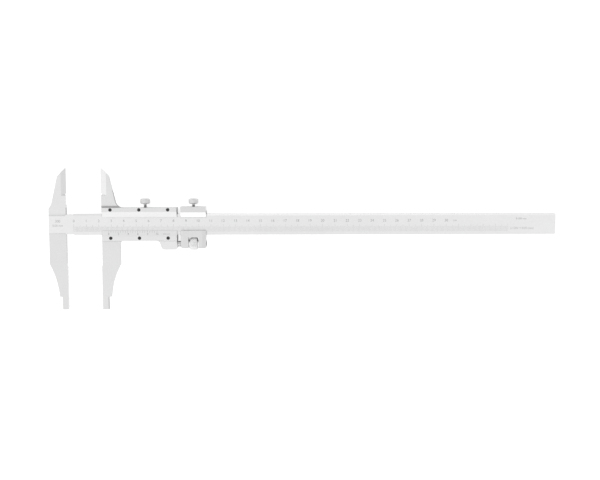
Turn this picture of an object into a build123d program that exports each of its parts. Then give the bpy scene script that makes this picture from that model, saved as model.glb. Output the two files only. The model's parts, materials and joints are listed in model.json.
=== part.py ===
"""Vernier caliper, 0 to 300 mm, with a fine-feed carriage, knife-edge upper jaws and nib-ended lower jaws.

It lies on its back. While it is modelled, X runs along the beam from the fixed measuring face, Y runs
across the beam from its centreline and Z rises from the back of the slider. Each piece is moved into
the part's own frame when it is written. Every length is in millimetres.
"""

from build123d import *
import math
import os

# Reading at rest, which is the gap between the measuring faces.
READING = 27.7

# Beam.
BEAM_LEFT = -14.3
BEAM_LENGTH = 408.7
BEAM_RIGHT = BEAM_LEFT + BEAM_LENGTH
BEAM_HALF_WIDTH = 8.5
BEAM_BACK = 3.0
BEAM_THICKNESS = 4.0
BEAM_FRONT = BEAM_BACK + BEAM_THICKNESS
MID_PLANE = BEAM_BACK + BEAM_THICKNESS / 2
BEAM_BEVEL_WIDTH = 1.4
BEAM_BEVEL_DEPTH = 0.3
BEAM_CORNER = 0.5
BEAM_NECK_LENGTH = 6.0
BEAM_NECK_RELIEF = 0.55

# Stop screw at the far end of the beam's back.
STOP_SCREW_X = BEAM_RIGHT - 2.6
STOP_HEAD_DIAMETER = 3.0
STOP_HEAD_HEIGHT = 1.2
STOP_SHANK_DIAMETER = 1.6
STOP_SHANK_LENGTH = 2.4
HOLE_BEYOND_TIP = 0.2

# Jaws, measured out from the measuring face.
JAW_THICKNESS = 3.4
JAW_BACK = MID_PLANE - JAW_THICKNESS / 2
JAW_FRONT = MID_PLANE + JAW_THICKNESS / 2
JAW_PAD_HALF_WIDTH = 7.0

# Lower jaws. Each has a width, a middle point of its curved side and a shoulder above its nib.
FIXED_JAW_WIDTH = 14.25
FIXED_CURVE_MID = (8.85, -46.2)
FIXED_SHOULDER = (6.85, -58.8)
MOVING_JAW_WIDTH = 15.0
MOVING_CURVE_MID = (9.2, -46.2)
MOVING_SHOULDER = (7.1, -58.8)
LOWER_REACH_Y = -69.2
LOWER_SIDE_END_Y = -32.4
LOWER_FACE_TOP_Y = -34.2
LOWER_RELIEF = 0.45
LOWER_RELIEF_SLOPE = 1.6
NIB_WIDTH = 5.0
NIB_FACE_RADIUS = 4.5

# Upper jaws. The outer side runs from the tip over a shoulder and flares out at its root.
UPPER_TIP_Y = 46.0
UPPER_SHOULDER = (6.75, 38.7)
UPPER_SIDE_END = (11.6, 17.9)
FIXED_FLARE_MID = (12.55, 15.4)
FIXED_FLARE_END = (14.25, 13.0)
MOVING_FLARE_MID = (13.15, 15.25)
MOVING_FLARE_END_X = 17.4
UPPER_FACE_END_Y = 25.1
UPPER_RELIEF = 0.35
UPPER_NOTCH = (1.2, 24.4)
UPPER_RELIEF_Y = 23.6
FIXED_FACET_WIDTH = 3.8
MOVING_FACET_WIDTH = 4.6
KNIFE_FACET_END_Y = 23.4
KNIFE_EDGE_HALF_THICKNESS = 0.1

# Slider.
SLIDER_SETBACK = 1.1
SLIDER_LENGTH = 59.9
SLIDER_TOP_Y = 13.6
SLIDER_BOTTOM_Y = -13.2
SLIDER_BACK_EDGE = 0.8
RUNNING_GAP = 0.04
SEAT_Z = BEAM_FRONT + RUNNING_GAP
GIB_WALL_Y = 9.6
PLATE_LIP = 0.16
KEEPER_TOP_Z = 9.9
KEEPER_LIP_Y = 5.6
KEEPER_FLAT_Y = 10.2
VERNIER_TOP_Z = 9.2
VERNIER_LIP_Y = -5.1
VERNIER_FLAT_Y = -9.6
PLATE_INSET = 0.05
SLIDER_FILLET = 2.5

# Six plate screws.
SCREW_FIRST_OFFSET = 6.9
SCREW_PITCH = 23.0
KEEPER_SCREW_Y = 11.9
VERNIER_SCREW_Y = -10.9
SCREW_HEAD_DIAMETER = 2.7
SCREW_HEAD_HEIGHT = 1.1
SCREW_HEAD_RECESS = 0.05
SCREW_SHANK_DIAMETER = 1.6
SCREW_LENGTH = 5.4
SCREW_SLOT_WIDTH = 0.4
SCREW_SLOT_DEPTH = 0.45
FIXED_FIT = 0.03
TAPPED_BEYOND_TIP = 0.3

# Finger rest on the slider, which also holds the feed screw.
REST_OFFSET = 45.5
REST_SIDE_SLOPE = 2.3
REST_BOTTOM_Y = -20.4
REST_BACK_Z = 0.9
REST_TOP_Z = 8.9
REST_LOW_Z = 7.3
REST_CONCAVE_RADIUS = 2.6
REST_CORNER_RADIUS = 1.7

# Fine feed.
FEED_Y = -15.75
FEED_Z = 5.1
FEED_DIAMETER = 5.0
FEED_LEFT = 76.5
FEED_RIGHT = 109.4
FEED_END_CHAMFER = 0.5
FEED_BORE_FIT = 0.1
FEED_PIN_X = 80.5
FEED_PIN_DIAMETER = 1.5
FEED_PIN_TOP = 7.2
FEED_PIN_RECESS = 0.1
NUT_DIAMETER = 9.8
NUT_RIM_WIDTH = 6.0
NUT_RIM_CHAMFER = 0.5
NUT_HUB_DIAMETER = 6.2
NUT_WIDTH = 8.0
NUT_BORE_FIT = 0.05

# Clamp carriage of the fine feed.
CLAMP_LEFT = 91.8
CLAMP_RIGHT = 112.1
CLAMP_TOP_Y = 14.3
CLAMP_BOTTOM_Y = -19.2
CLAMP_TOP_Z = 10.3
CLAMP_LOWER_Z = 9.7
CLAMP_LIP_Z = 7.5
CLAMP_UPPER_LIP_Y = 5.8
CLAMP_UPPER_FLAT_Y = 9.7
CLAMP_LOWER_LIP_Y = -5.05
CLAMP_CORNER_RADIUS = 1.5
CLAMP_LEFT_BEVEL = 2.0
CLAMP_RIGHT_BEVEL = 3.2
CLAMP_BEVEL_DEPTH = 0.7
WINDOW_LEFT = 97.95
WINDOW_RIGHT = 106.1
WINDOW_TOP_Y = -10.2

# Lock screws, brass pads and gib springs.
SLIDER_LOCK_X = 63.15
CLAMP_LOCK_X = (CLAMP_LEFT + CLAMP_RIGHT) / 2
LOCK_STEM_DIAMETER = 2.5
LOCK_HOLE_FIT = 0.05
LOCK_HEAD_DIAMETER = 8.1
LOCK_HEAD_HEIGHT = 4.3
LOCK_HEAD_EDGE = 0.9
LOCK_HEAD_Y = 16.55
LOCK_COLLAR_DIAMETER = 3.0
LOCK_COLLAR_HEIGHT = 0.5
PAD_INNER_Y = 9.0
PAD_LENGTH = 1.9
SPRING_THICKNESS = 0.3
SPRING_WIDTH = 3.2
SPRING_TOUCH_Y = BEAM_HALF_WIDTH + 0.03
SPRING_END_GAP = 0.05
SLIDER_SPRING_LENGTH = 46.0
CLAMP_SPRING_LENGTH = 15.0

# The part's origin: the middle of its box along X and Y, on the surface it lies on.
ORIGIN = (
    (BEAM_LEFT + BEAM_RIGHT) / 2,
    (UPPER_TIP_Y + LOWER_REACH_Y) / 2,
    0.0,
)

SLIDER_LEFT = READING + SLIDER_SETBACK
SLIDER_RIGHT = SLIDER_LEFT + SLIDER_LENGTH
PAST = 1.0


def block(x0, x1, y0, y1, z0, z1):
    """A box between two corners."""
    centre = Pos((x0 + x1) / 2, (y0 + y1) / 2, (z0 + z1) / 2)
    return centre * Box(x1 - x0, y1 - y0, z1 - z0)


def plate(outline, z0, z1):
    """A closed XY outline made into a plate from z0 to z1."""
    return Pos(0, 0, z0) * extrude(make_face(outline), z1 - z0)


def bar(section, x0, x1):
    """A (y, z) section drawn out along X from x0 to x1."""
    outline = Polyline(*[(x0, y, z) for y, z in section], close=True)
    return extrude(make_face(outline), x1 - x0, dir=(1, 0, 0))


def rod_x(x0, x1, y, z, diameter):
    """A round rod along X."""
    return Pos((x0 + x1) / 2, y, z) * Rot(0, 90, 0) * Cylinder(diameter / 2, x1 - x0)


def rod_y(x, y0, y1, z, diameter):
    """A round rod along Y."""
    return Pos(x, (y0 + y1) / 2, z) * Rot(90, 0, 0) * Cylinder(diameter / 2, y1 - y0)


def rod_z(x, y, z0, z1, diameter):
    """A round rod along Z."""
    return Pos(x, y, (z0 + z1) / 2) * Cylinder(diameter / 2, z1 - z0)


def lower_jaw(root_y, width, curve_mid, shoulder):
    """The lower jaw with its nib, its measuring face at X 0 and its body on the +X side."""
    face_step = [(LOWER_RELIEF, LOWER_FACE_TOP_Y + LOWER_RELIEF_SLOPE), (0, LOWER_FACE_TOP_Y)]
    outline = [
        Polyline((width, root_y), (LOWER_RELIEF, root_y), *face_step, (0, shoulder[1]), shoulder),
        ThreePointArc(shoulder, curve_mid, (width, LOWER_SIDE_END_Y)),
        Line((width, LOWER_SIDE_END_Y), (width, root_y)),
    ]
    blade = plate(outline, JAW_BACK, JAW_FRONT)
    overlap_y = shoulder[1] + PAST
    stock = block(0, NIB_WIDTH, LOWER_REACH_Y, overlap_y, JAW_BACK, JAW_FRONT)
    barrel = rod_y(NIB_WIDTH - NIB_FACE_RADIUS, LOWER_REACH_Y, overlap_y, MID_PLANE, 2 * NIB_FACE_RADIUS)
    return blade + (stock & barrel)


def knife_bevel(sign, width):
    """The wedge ground off one side of an upper jaw; sign is +1 for the front and -1 for the back."""
    edge_z = MID_PLANE + sign * KNIFE_EDGE_HALF_THICKNESS
    face_z = MID_PLANE + sign * JAW_THICKNESS / 2
    away_z = face_z + sign * PAST
    slope = (face_z - edge_z) / width
    corners = [(-PAST, edge_z - slope * PAST), (width, face_z)]
    corners += [(width, away_z), (-PAST, away_z)]
    points = [(x, KNIFE_FACET_END_Y, z) for x, z in corners]
    height = UPPER_TIP_Y + PAST - KNIFE_FACET_END_Y
    return extrude(make_face(Polyline(*points, close=True)), height, dir=(0, 1, 0))


def upper_jaw(root_y, flare_mid, flare_end, facet_width):
    """The upper jaw, knife edge at X 0 and its body on the +X side, flaring out at its root."""
    outline = [
        Polyline(
            (flare_end[0], root_y),
            (UPPER_RELIEF, root_y),
            (UPPER_RELIEF, UPPER_RELIEF_Y),
            UPPER_NOTCH,
            (0, UPPER_FACE_END_Y),
            (0, UPPER_TIP_Y),
            UPPER_SHOULDER,
            UPPER_SIDE_END,
        ),
        ThreePointArc(UPPER_SIDE_END, flare_mid, flare_end),
        Line(flare_end, (flare_end[0], root_y)),
    ]
    blade = plate(outline, JAW_BACK, JAW_FRONT)
    return blade - knife_bevel(1, facet_width) - knife_bevel(-1, facet_width)


def beam():
    """The beam in one piece with the two fixed jaws, bored for the stop screw."""
    half = BEAM_HALF_WIDTH
    bevel_y = half - BEAM_BEVEL_WIDTH
    bevel_z = BEAM_FRONT - BEAM_BEVEL_DEPTH
    section = [(-half, BEAM_BACK), (half, BEAM_BACK), (half, bevel_z)]
    section += [(bevel_y, BEAM_FRONT), (-half, BEAM_FRONT)]
    rail = bar(section, BEAM_NECK_LENGTH, BEAM_RIGHT)
    ends = rail.edges().filter_by(Axis.Z).group_by(Axis.X)[-1]
    rail = chamfer(ends, BEAM_CORNER)
    neck_half = half - BEAM_NECK_RELIEF
    neck = block(-PAST, BEAM_NECK_LENGTH, -neck_half, neck_half, BEAM_BACK, BEAM_FRONT)
    pad_half = JAW_PAD_HALF_WIDTH
    pad = block(BEAM_LEFT, 0, -pad_half, pad_half, BEAM_BACK, BEAM_FRONT)
    jaws = lower_jaw(0, FIXED_JAW_WIDTH, FIXED_CURVE_MID, FIXED_SHOULDER)
    jaws += upper_jaw(0, FIXED_FLARE_MID, FIXED_FLARE_END, FIXED_FACET_WIDTH)
    hole_top = BEAM_BACK + STOP_SHANK_LENGTH + HOLE_BEYOND_TIP
    hole = rod_z(STOP_SCREW_X, 0, BEAM_BACK, hole_top, STOP_SHANK_DIAMETER + 2 * FIXED_FIT)
    return rail + neck + pad + mirror(jaws, about=Plane.YZ) - hole


def slotted_screw(x, y, head_z, length, head_diameter, head_height, shank_diameter, pointing):
    """A slotted screw along Z; head_z is the outer face of its head and pointing is -1 for head up."""
    shoulder_z = head_z + pointing * head_height
    tip_z = head_z + pointing * length
    head = rod_z(x, y, min(head_z, shoulder_z), max(head_z, shoulder_z), head_diameter)
    shank = rod_z(x, y, min(shoulder_z, tip_z), max(shoulder_z, tip_z), shank_diameter)
    slot_z = head_z + pointing * SCREW_SLOT_DEPTH
    reach = head_diameter
    half_slot = SCREW_SLOT_WIDTH / 2
    outer_z = head_z - pointing * PAST
    slot_low, slot_high = min(slot_z, outer_z), max(slot_z, outer_z)
    slot = block(x - reach, x + reach, y - half_slot, y + half_slot, slot_low, slot_high)
    return head + shank - slot


def plate_screw_stations():
    """The X places of the three screws in each front plate."""
    return [SLIDER_LEFT + SCREW_FIRST_OFFSET + SCREW_PITCH * index for index in range(3)]


def screw_holes(y, head_z):
    """Counterbores and tapped holes for one row of plate screws."""
    seat_z = head_z - SCREW_HEAD_HEIGHT
    tip_z = head_z - SCREW_LENGTH - TAPPED_BEYOND_TIP
    holes = []
    for x in plate_screw_stations():
        holes.append(rod_z(x, y, seat_z, head_z + PAST, SCREW_HEAD_DIAMETER + 2 * FIXED_FIT))
        holes.append(rod_z(x, y, tip_z, seat_z + PAST / 2, SCREW_SHANK_DIAMETER + 2 * FIXED_FIT))
    return holes


def keeper_plate():
    """The upper front plate, its lip bevelled down to the face of the beam."""
    outer_y = SLIDER_TOP_Y - PLATE_INSET
    section = [
        (outer_y, SEAT_Z),
        (outer_y, KEEPER_TOP_Z),
        (KEEPER_FLAT_Y, KEEPER_TOP_Z),
        (KEEPER_LIP_Y, SEAT_Z + PLATE_LIP),
        (KEEPER_LIP_Y, SEAT_Z),
    ]
    solid = bar(section, SLIDER_LEFT, SLIDER_RIGHT)
    return solid - screw_holes(KEEPER_SCREW_Y, KEEPER_TOP_Z - SCREW_HEAD_RECESS)


def vernier_plate():
    """The lower front plate, its bevel carrying the vernier."""
    outer_y = SLIDER_BOTTOM_Y + PLATE_INSET
    section = [
        (outer_y, SEAT_Z),
        (outer_y, VERNIER_TOP_Z),
        (VERNIER_FLAT_Y, VERNIER_TOP_Z),
        (VERNIER_LIP_Y, SEAT_Z + PLATE_LIP),
        (VERNIER_LIP_Y, SEAT_Z),
    ]
    solid = bar(section, SLIDER_LEFT, SLIDER_RIGHT)
    return solid - screw_holes(VERNIER_SCREW_Y, VERNIER_TOP_Z - SCREW_HEAD_RECESS)


def finger_rest():
    """The thumb tab under the slider, with an S-shaped side and a front face that falls away."""
    left = SLIDER_LEFT + REST_OFFSET
    edge_y = SLIDER_BOTTOM_Y
    start = (left - REST_CONCAVE_RADIUS - PAST, edge_y)
    route = [start, (left, edge_y), (left + REST_SIDE_SLOPE, REST_BOTTOM_Y)]
    route += [(SLIDER_RIGHT, REST_BOTTOM_Y), (SLIDER_RIGHT, edge_y + PAST)]
    radii = [REST_CONCAVE_RADIUS, REST_CORNER_RADIUS, REST_CORNER_RADIUS]
    edge = FilletPolyline(*route, radius=radii)
    top = Polyline(route[-1], (start[0], edge_y + PAST), start)
    stock = plate([edge, top], REST_BACK_Z, KEEPER_TOP_Z)
    seat_y = edge_y - FIXED_FIT
    section = [
        (edge_y + PAST, REST_BACK_Z),
        (edge_y + PAST, BEAM_FRONT),
        (seat_y, BEAM_FRONT),
        (seat_y, REST_TOP_Z),
        (REST_BOTTOM_Y, REST_LOW_Z),
        (REST_BOTTOM_Y, REST_BACK_Z),
    ]
    return stock & bar(section, start[0], SLIDER_RIGHT)


def slider_body():
    """The slider's back plate, its two side rails, both moving jaws and the finger rest, in one piece."""
    top, bottom = SLIDER_TOP_Y, SLIDER_BOTTOM_Y
    edge = SLIDER_BACK_EDGE
    floor_z = BEAM_BACK - RUNNING_GAP
    lower_wall_y = -BEAM_HALF_WIDTH - RUNNING_GAP
    section = [
        (bottom, edge),
        (bottom + edge, 0),
        (top - edge, 0),
        (top, edge),
        (top, SEAT_Z),
        (GIB_WALL_Y, SEAT_Z),
        (GIB_WALL_Y, floor_z),
        (lower_wall_y, floor_z),
        (lower_wall_y, SEAT_Z),
        (bottom, SEAT_Z),
    ]
    channel = bar(section, SLIDER_LEFT, SLIDER_RIGHT)
    upper = upper_jaw(GIB_WALL_Y, MOVING_FLARE_MID, (MOVING_FLARE_END_X, top), MOVING_FACET_WIDTH)
    lower = lower_jaw(lower_wall_y, MOVING_JAW_WIDTH, MOVING_CURVE_MID, MOVING_SHOULDER)
    side = MOVING_JAW_WIDTH
    corner = (side + SLIDER_FILLET, bottom)
    arc_end = (side, bottom - SLIDER_FILLET)
    gusset = [
        Polyline(corner, (side - PAST, bottom + PAST), (side - PAST, bottom - SLIDER_FILLET), arc_end),
        RadiusArc(arc_end, corner, SLIDER_FILLET),
    ]
    jaws = Pos(READING, 0, 0) * (upper + lower + plate(gusset, JAW_BACK, JAW_FRONT))
    body = channel + jaws + finger_rest()
    body -= screw_holes(KEEPER_SCREW_Y, KEEPER_TOP_Z - SCREW_HEAD_RECESS)
    body -= screw_holes(VERNIER_SCREW_Y, VERNIER_TOP_Z - SCREW_HEAD_RECESS)
    lock_bore = LOCK_STEM_DIAMETER + 2 * LOCK_HOLE_FIT
    body -= rod_y(SLIDER_LOCK_X, GIB_WALL_Y - PAST, top + PAST, MID_PLANE, lock_bore)
    body -= rod_x(FEED_LEFT, SLIDER_RIGHT + PAST, FEED_Y, FEED_Z, FEED_DIAMETER + 2 * FIXED_FIT)
    pin_bore = FEED_PIN_DIAMETER + 2 * FIXED_FIT
    return body - rod_z(FEED_PIN_X, FEED_Y, REST_BACK_Z - PAST, FEED_PIN_TOP + FEED_PIN_RECESS, pin_bore)


def clamp_body():
    """The fine-feed carriage: one channel round the beam, with a window for the nut."""
    floor_z = BEAM_BACK - RUNNING_GAP
    lower_wall_y = -BEAM_HALF_WIDTH - RUNNING_GAP
    edge = SLIDER_BACK_EDGE
    section = [
        (CLAMP_BOTTOM_Y, edge),
        (CLAMP_BOTTOM_Y + edge, 0),
        (CLAMP_TOP_Y - edge, 0),
        (CLAMP_TOP_Y, edge),
        (CLAMP_TOP_Y, CLAMP_TOP_Z),
        (CLAMP_UPPER_FLAT_Y, CLAMP_TOP_Z),
        (CLAMP_UPPER_LIP_Y, CLAMP_LIP_Z),
        (CLAMP_UPPER_LIP_Y, SEAT_Z),
        (GIB_WALL_Y, SEAT_Z),
        (GIB_WALL_Y, floor_z),
        (lower_wall_y, floor_z),
        (lower_wall_y, SEAT_Z),
        (CLAMP_LOWER_LIP_Y, SEAT_Z),
        (CLAMP_LOWER_LIP_Y, CLAMP_LOWER_Z),
        (CLAMP_BOTTOM_Y, CLAMP_LOWER_Z),
    ]
    body = bar(section, CLAMP_LEFT, CLAMP_RIGHT)
    for side, width in ((CLAMP_LEFT, CLAMP_LEFT_BEVEL), (CLAMP_RIGHT, -CLAMP_RIGHT_BEVEL)):
        body -= end_bevel(side, width)
    upright = body.edges().filter_by(Axis.Z)
    corners = upright.filter_by_position(Axis.Y, CLAMP_BOTTOM_Y - PAST, CLAMP_BOTTOM_Y + PAST)
    body = fillet(corners, CLAMP_CORNER_RADIUS)
    body -= block(WINDOW_LEFT, WINDOW_RIGHT, CLAMP_BOTTOM_Y - PAST, WINDOW_TOP_Y, -PAST, CLAMP_TOP_Z + PAST)
    bore = FEED_DIAMETER + 2 * FEED_BORE_FIT
    body -= rod_x(CLAMP_LEFT - PAST, CLAMP_RIGHT + PAST, FEED_Y, FEED_Z, bore)
    lock_bore = LOCK_STEM_DIAMETER + 2 * LOCK_HOLE_FIT
    return body - rod_y(CLAMP_LOCK_X, GIB_WALL_Y - PAST, CLAMP_TOP_Y + PAST, MID_PLANE, lock_bore)


def end_bevel(side, width):
    """The wedge that slopes one end of the carriage's lower front face."""
    high = CLAMP_LOWER_Z
    low = CLAMP_LOWER_Z - CLAMP_BEVEL_DEPTH
    away = math.copysign(PAST, width)
    slope = (high - low) / abs(width)
    corners = [(side + width, high), (side - away, low - slope * PAST), (side - away, high + PAST)]
    corners.append((side + width, high + PAST))
    points = [(x, CLAMP_BOTTOM_Y - PAST, z) for x, z in corners]
    length = CLAMP_LOWER_LIP_Y - CLAMP_BOTTOM_Y + 2 * PAST
    return extrude(make_face(Polyline(*points, close=True)), length, dir=(0, 1, 0))


def feed_screw():
    """The threaded rod of the fine feed, cross-drilled for its pin."""
    rod = rod_x(FEED_LEFT, FEED_RIGHT, FEED_Y, FEED_Z, FEED_DIAMETER)
    ends = rod.edges().filter_by(GeomType.CIRCLE)
    rod = chamfer(ends, FEED_END_CHAMFER)
    bore = FEED_PIN_DIAMETER + 2 * FIXED_FIT
    return rod - rod_z(FEED_PIN_X, FEED_Y, REST_BACK_Z, FEED_PIN_TOP + FEED_PIN_RECESS, bore)


def feed_screw_pin():
    """The pin that holds the feed screw in the finger rest, driven in from the back."""
    return rod_z(FEED_PIN_X, FEED_Y, REST_BACK_Z + FEED_PIN_RECESS, FEED_PIN_TOP, FEED_PIN_DIAMETER)


def feed_nut():
    """The thumb nut: a rim with a plain hub on each side, bored for the feed screw."""
    centre = (WINDOW_LEFT + WINDOW_RIGHT) / 2
    half_rim = NUT_RIM_WIDTH / 2
    half_width = NUT_WIDTH / 2
    rim = rod_x(centre - half_rim, centre + half_rim, FEED_Y, FEED_Z, NUT_DIAMETER)
    rim = chamfer(rim.edges().filter_by(GeomType.CIRCLE), NUT_RIM_CHAMFER)
    hub = rod_x(centre - half_width, centre + half_width, FEED_Y, FEED_Z, NUT_HUB_DIAMETER)
    bore = rod_x(centre - NUT_WIDTH, centre + NUT_WIDTH, FEED_Y, FEED_Z, FEED_DIAMETER + 2 * NUT_BORE_FIT)
    return rim + hub - bore


def lock_screw(x):
    """A one-piece thumbscrew: a stem in its tapped hole, a small collar and a round-edged head."""
    head_top = LOCK_HEAD_Y + LOCK_HEAD_HEIGHT
    head = rod_y(x, LOCK_HEAD_Y, head_top, MID_PLANE, LOCK_HEAD_DIAMETER)
    head = fillet(head.edges().filter_by(GeomType.CIRCLE), LOCK_HEAD_EDGE)
    collar = rod_y(x, LOCK_HEAD_Y - LOCK_COLLAR_HEIGHT, LOCK_HEAD_Y + PAST, MID_PLANE, LOCK_COLLAR_DIAMETER)
    stem = rod_y(x, PAD_INNER_Y + PAD_LENGTH, LOCK_HEAD_Y + PAST, MID_PLANE, LOCK_STEM_DIAMETER)
    return head + collar + stem


def lock_pad(x):
    """The brass slug that the lock screw pushes against the gib spring."""
    return rod_y(x, PAD_INNER_Y, PAD_INNER_Y + PAD_LENGTH, MID_PLANE, LOCK_STEM_DIAMETER)


def gib_spring(x, length):
    """A bowed leaf spring: its middle bears on the beam's edge and its ends on the channel's wall."""
    half = length / 2
    middle_y = SPRING_TOUCH_Y
    end_y = GIB_WALL_Y - SPRING_END_GAP - SPRING_THICKNESS
    near = [(x - half, end_y), (x, middle_y), (x + half, end_y)]
    far = [(px, py + SPRING_THICKNESS) for px, py in near]
    outline = [
        ThreePointArc(*near),
        Line(near[2], far[2]),
        ThreePointArc(*reversed(far)),
        Line(far[0], near[0]),
    ]
    half_width = SPRING_WIDTH / 2
    return plate(outline, MID_PLANE - half_width, MID_PLANE + half_width)


def write(name, shape):
    """Move one piece into the part's own frame and write it."""
    place = Pos(-ORIGIN[0], -ORIGIN[1], -ORIGIN[2])
    export_step(place * shape, f"parts/{name}.step")


def plate_screw(x, y, plate_top):
    """One of the six screws that hold the front plates."""
    head_z = plate_top - SCREW_HEAD_RECESS
    sizes = (SCREW_LENGTH, SCREW_HEAD_DIAMETER, SCREW_HEAD_HEIGHT, SCREW_SHANK_DIAMETER)
    return slotted_screw(x, y, head_z, *sizes, -1)


def stop_screw():
    """The screw whose head stops the carriage at the end of the beam."""
    head_z = BEAM_BACK - STOP_HEAD_HEIGHT
    length = STOP_HEAD_HEIGHT + STOP_SHANK_LENGTH
    sizes = (length, STOP_HEAD_DIAMETER, STOP_HEAD_HEIGHT, STOP_SHANK_DIAMETER)
    return slotted_screw(STOP_SCREW_X, 0, head_z, *sizes, 1)


def main():
    os.makedirs("parts", exist_ok=True)
    write("beam", beam())
    write("beam_stop_screw", stop_screw())
    write("slider_body", slider_body())
    write("keeper_plate", keeper_plate())
    write("vernier_plate", vernier_plate())
    for index, x in enumerate(plate_screw_stations(), start=1):
        write(f"keeper_plate_screw_{index}", plate_screw(x, KEEPER_SCREW_Y, KEEPER_TOP_Z))
        write(f"vernier_plate_screw_{index}", plate_screw(x, VERNIER_SCREW_Y, VERNIER_TOP_Z))
    write("clamp_body", clamp_body())
    write("feed_screw", feed_screw())
    write("feed_screw_pin", feed_screw_pin())
    write("feed_nut", feed_nut())
    for owner, x, spring in (
        ("slider", SLIDER_LOCK_X, SLIDER_SPRING_LENGTH),
        ("clamp", CLAMP_LOCK_X, CLAMP_SPRING_LENGTH),
    ):
        write(f"{owner}_lock_screw", lock_screw(x))
        write(f"{owner}_lock_pad", lock_pad(x))
        write(f"{owner}_gib_spring", gib_spring(x, spring))


main()
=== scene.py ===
import json
import math

import bmesh
import bpy
from mathutils import Matrix, Vector

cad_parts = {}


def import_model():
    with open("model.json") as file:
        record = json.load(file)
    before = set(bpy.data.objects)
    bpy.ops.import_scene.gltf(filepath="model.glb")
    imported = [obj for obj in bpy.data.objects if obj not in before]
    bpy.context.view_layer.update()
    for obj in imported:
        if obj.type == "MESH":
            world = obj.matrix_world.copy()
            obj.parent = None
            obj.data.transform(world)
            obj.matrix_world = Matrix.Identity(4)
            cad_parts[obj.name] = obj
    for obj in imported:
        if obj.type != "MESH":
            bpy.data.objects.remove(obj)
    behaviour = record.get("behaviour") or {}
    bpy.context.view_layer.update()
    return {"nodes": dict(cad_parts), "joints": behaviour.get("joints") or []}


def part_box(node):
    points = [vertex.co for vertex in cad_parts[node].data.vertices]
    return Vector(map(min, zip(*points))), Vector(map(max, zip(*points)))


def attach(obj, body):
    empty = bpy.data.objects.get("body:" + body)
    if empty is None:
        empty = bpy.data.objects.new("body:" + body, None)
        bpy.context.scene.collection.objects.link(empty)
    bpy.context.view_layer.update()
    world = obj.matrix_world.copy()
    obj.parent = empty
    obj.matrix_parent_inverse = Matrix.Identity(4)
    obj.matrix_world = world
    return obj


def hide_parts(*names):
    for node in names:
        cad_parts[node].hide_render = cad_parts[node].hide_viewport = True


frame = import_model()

MM = 0.001

# ---------------------------------------------------------------- places, read from the frame
BEAM_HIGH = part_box("beam")[1]
SLIDER_LOW, SLIDER_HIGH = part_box("slider_body")
KEEPER_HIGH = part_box("keeper_plate")[1]
VERNIER_LOW, VERNIER_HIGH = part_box("vernier_plate")
CLAMP_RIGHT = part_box("clamp_body")[1].x
JOINTS = {joint["name"]: joint for joint in frame["joints"]}
READING = -JOINTS["slider_slide"]["range_m"][0]
FIXED_FACE_X = SLIDER_LOW.x - READING
MOVING_FACE_X = SLIDER_LOW.x
CENTRE_Y = sum(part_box("beam_stop_screw"), Vector()).y / 2
FEED = sum(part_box("feed_screw"), Vector()) / 2
NUT = sum(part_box("feed_nut"), Vector()) / 2
# The beam's box takes in its jaws, so its own width is given here.
BEAM_HALF_WIDTH = 8.5 * MM
BEAM_TOP_Y = CENTRE_Y + BEAM_HALF_WIDTH

# ---------------------------------------------------------------- graduations
ZERO_OFFSET = 5.85 * MM
SCALE_LENGTH_MM = 350
LABELLED_LENGTH_MM = 300
LINE_WIDTH = 0.10 * MM
INLAY_SINK = 0.02 * MM
INLAY_PROUD = 0.008 * MM
LINE_FOOT_Y = -6.0 * MM
LINE_TOPS = {1: -1.7 * MM, 5: -0.7 * MM, 10: 0.1 * MM}
NUMBER_Y = 2.9 * MM
NUMBER_HEIGHT = 2.0 * MM
TEXT_THINNING = -0.008
VERNIER_BEVEL_WIDTH = 4.5 * MM
VERNIER_LIP = 0.16 * MM
VERNIER_DIVISIONS = 20
VERNIER_STEP = 1.95 * MM
VERNIER_LINE = 1.7 * MM
VERNIER_LONG_LINE = 2.1 * MM
VERNIER_LONG_EVERY = 4
VERNIER_LINE_GAP = 0.05 * MM
VERNIER_NUMBER_HEIGHT = 1.5 * MM
VERNIER_NUMBER_SHIFT = 0.4 * MM
VERNIER_NUMBER_V = -2.75 * MM
VERNIER_NOTE_HEIGHT = 1.1 * MM
VERNIER_NOTE_STEPS = VERNIER_DIVISIONS + 4
# Words, height, middle along X from the fixed measuring face, and middle across the beam.
BEAM_NOTES = (
    ("0-300 mm", 1.4 * MM, 366.5 * MM, 4.2 * MM),
    ("(1 DIV = 0.05 mm)", 1.65 * MM, 367.3 * MM, -3.5 * MM),
    ("cm", 1.6 * MM, 312.8 * MM, 2.9 * MM),
    ("300", 1.9 * MM, -7.0 * MM, 2.6 * MM),
    ("0.05 mm", 1.6 * MM, -7.0 * MM, -0.9 * MM),
)


# ---------------------------------------------------------------- shader nodes
NOISE_ROUGHNESS = 0.6
EDGE_SAMPLES = 6
EDGE_GAIN = 6.0


def add(tree, kind, **values):
    """A new shader node with some inputs set by name."""
    made = tree.nodes.new(kind)
    for key, value in values.items():
        made.inputs[key.replace("_", " ")].default_value = value
    return made


def math_node(tree, operation, first, second):
    """A maths node of two inputs, each a number or another node's output."""
    made = tree.nodes.new("ShaderNodeMath")
    made.operation = operation
    for slot, value in enumerate((first, second)):
        if isinstance(value, (int, float)):
            made.inputs[slot].default_value = value
        else:
            tree.links.new(value, made.inputs[slot])
    return made.outputs[0]


def product(tree, first, *others):
    """Several numbers or outputs multiplied together."""
    for other in others:
        first = math_node(tree, "MULTIPLY", first, other)
    return first


def total(tree, first, *others):
    """Several numbers or outputs added up."""
    for other in others:
        first = math_node(tree, "ADD", first, other)
    return first


def more(tree, value, limit):
    """1 where a value is above a limit, 0 elsewhere."""
    return math_node(tree, "GREATER_THAN", value, limit)


def less(tree, value, limit):
    """1 where a value is under a limit, 0 elsewhere."""
    return math_node(tree, "LESS_THAN", value, limit)


def size_of(tree, value):
    """A value without its sign."""
    return math_node(tree, "ABSOLUTE", value, 0)


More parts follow.
